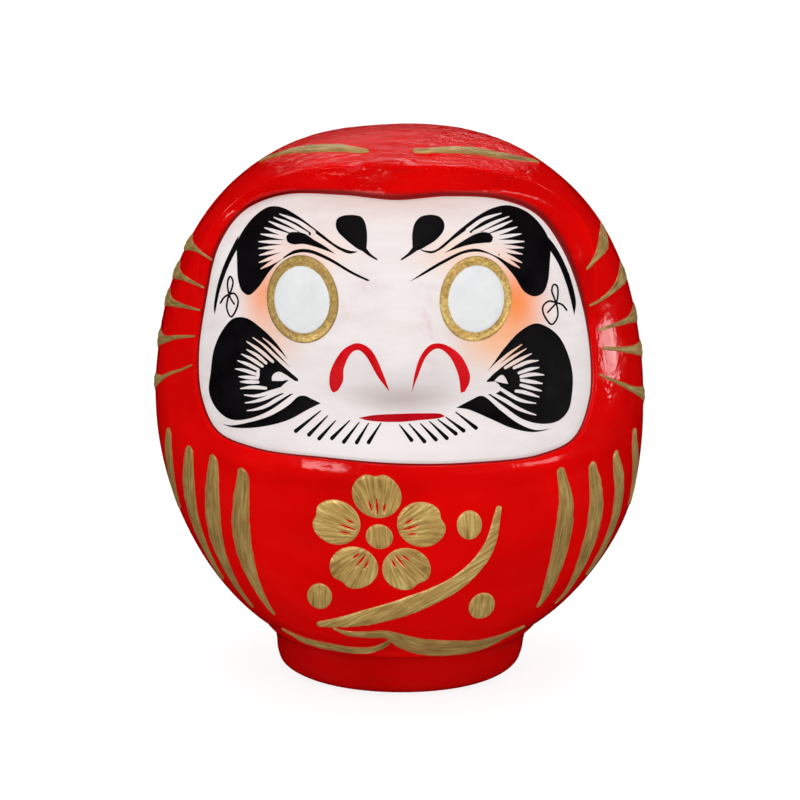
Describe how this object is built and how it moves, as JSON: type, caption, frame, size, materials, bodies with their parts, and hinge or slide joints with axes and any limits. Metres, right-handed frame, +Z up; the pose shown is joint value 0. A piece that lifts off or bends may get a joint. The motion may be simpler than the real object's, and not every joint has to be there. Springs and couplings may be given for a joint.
{
  "type": "daruma doll",
  "caption": "Round hollow paper roly-poly doll with a hooded face, painted brows and beard, gold robe folds and a low weighted foot; stands as a lucky ornament.",
  "frame": {"origin": "bottom centre of the doll, on the surface it stands on", "axes": "+Z up through the crown, -Y the way the face looks, +X to the viewer's right"},
  "size_m": [0.1066, 0.1025, 0.1199],
  "materials": {
    "red_lacquer_shell": "gloss",
    "red_lacquer_clay": "gloss",
    "white_gofun": "matte",
    "eye_gofun": "matte",
    "black_ink": "satin",
    "rouge": "satin",
    "lip_red": "satin",
    "gold_paint": "satin"
  },
  "bodies": {
    "root": {"base_weight": "red_lacquer_clay", "beard_left": "black_ink", "beard_right": "black_ink", "blossom_heart": "gold_paint", "body_shell": "red_lacquer_shell", "brow_drop_left": "black_ink", "brow_drop_right": "black_ink", "brow_left": "black_ink", "brow_right": "black_ink", "bud_1": "gold_paint", "bud_2": "gold_paint", "bud_3": "gold_paint", "crown_line_left": "gold_paint", "crown_line_right": "gold_paint", "ear_curl_left": "black_ink", "ear_curl_right": "black_ink", "eye_ring_left": "gold_paint", "eye_ring_right": "gold_paint", "eye_white_left": "eye_gofun", "eye_white_right": "eye_gofun", "face_coat": "white_gofun", "fold_1_left": "gold_paint", "fold_1_right": "gold_paint", "fold_2_left": "gold_paint", "fold_2_right": "gold_paint", "fold_3_left": "gold_paint", "fold_3_right": "gold_paint", "fold_4_left": "gold_paint", "fold_4_right": "gold_paint", "hem_wave_lower": "gold_paint", "hem_wave_upper": "gold_paint", "moustache_left": "black_ink", "moustache_right": "black_ink", "mouth": "lip_red", "nostril_left": "rouge", "nostril_right": "rouge", "petal_1": "gold_paint", "petal_2": "gold_paint", "petal_3": "gold_paint", "petal_4": "gold_paint", "petal_5": "gold_paint", "ray_1_left": "gold_paint", "ray_1_right": "gold_paint", "ray_2_left": "gold_paint", "ray_2_right": "gold_paint", "ray_3_left": "gold_paint", "ray_3_right": "gold_paint", "ray_4_left": "gold_paint", "ray_4_right": "gold_paint", "ray_5_left": "gold_paint", "ray_5_right": "gold_paint", "temple_line_left": "black_ink", "temple_line_right": "black_ink", "twig": "gold_paint"}
  },
  "joints": []
}
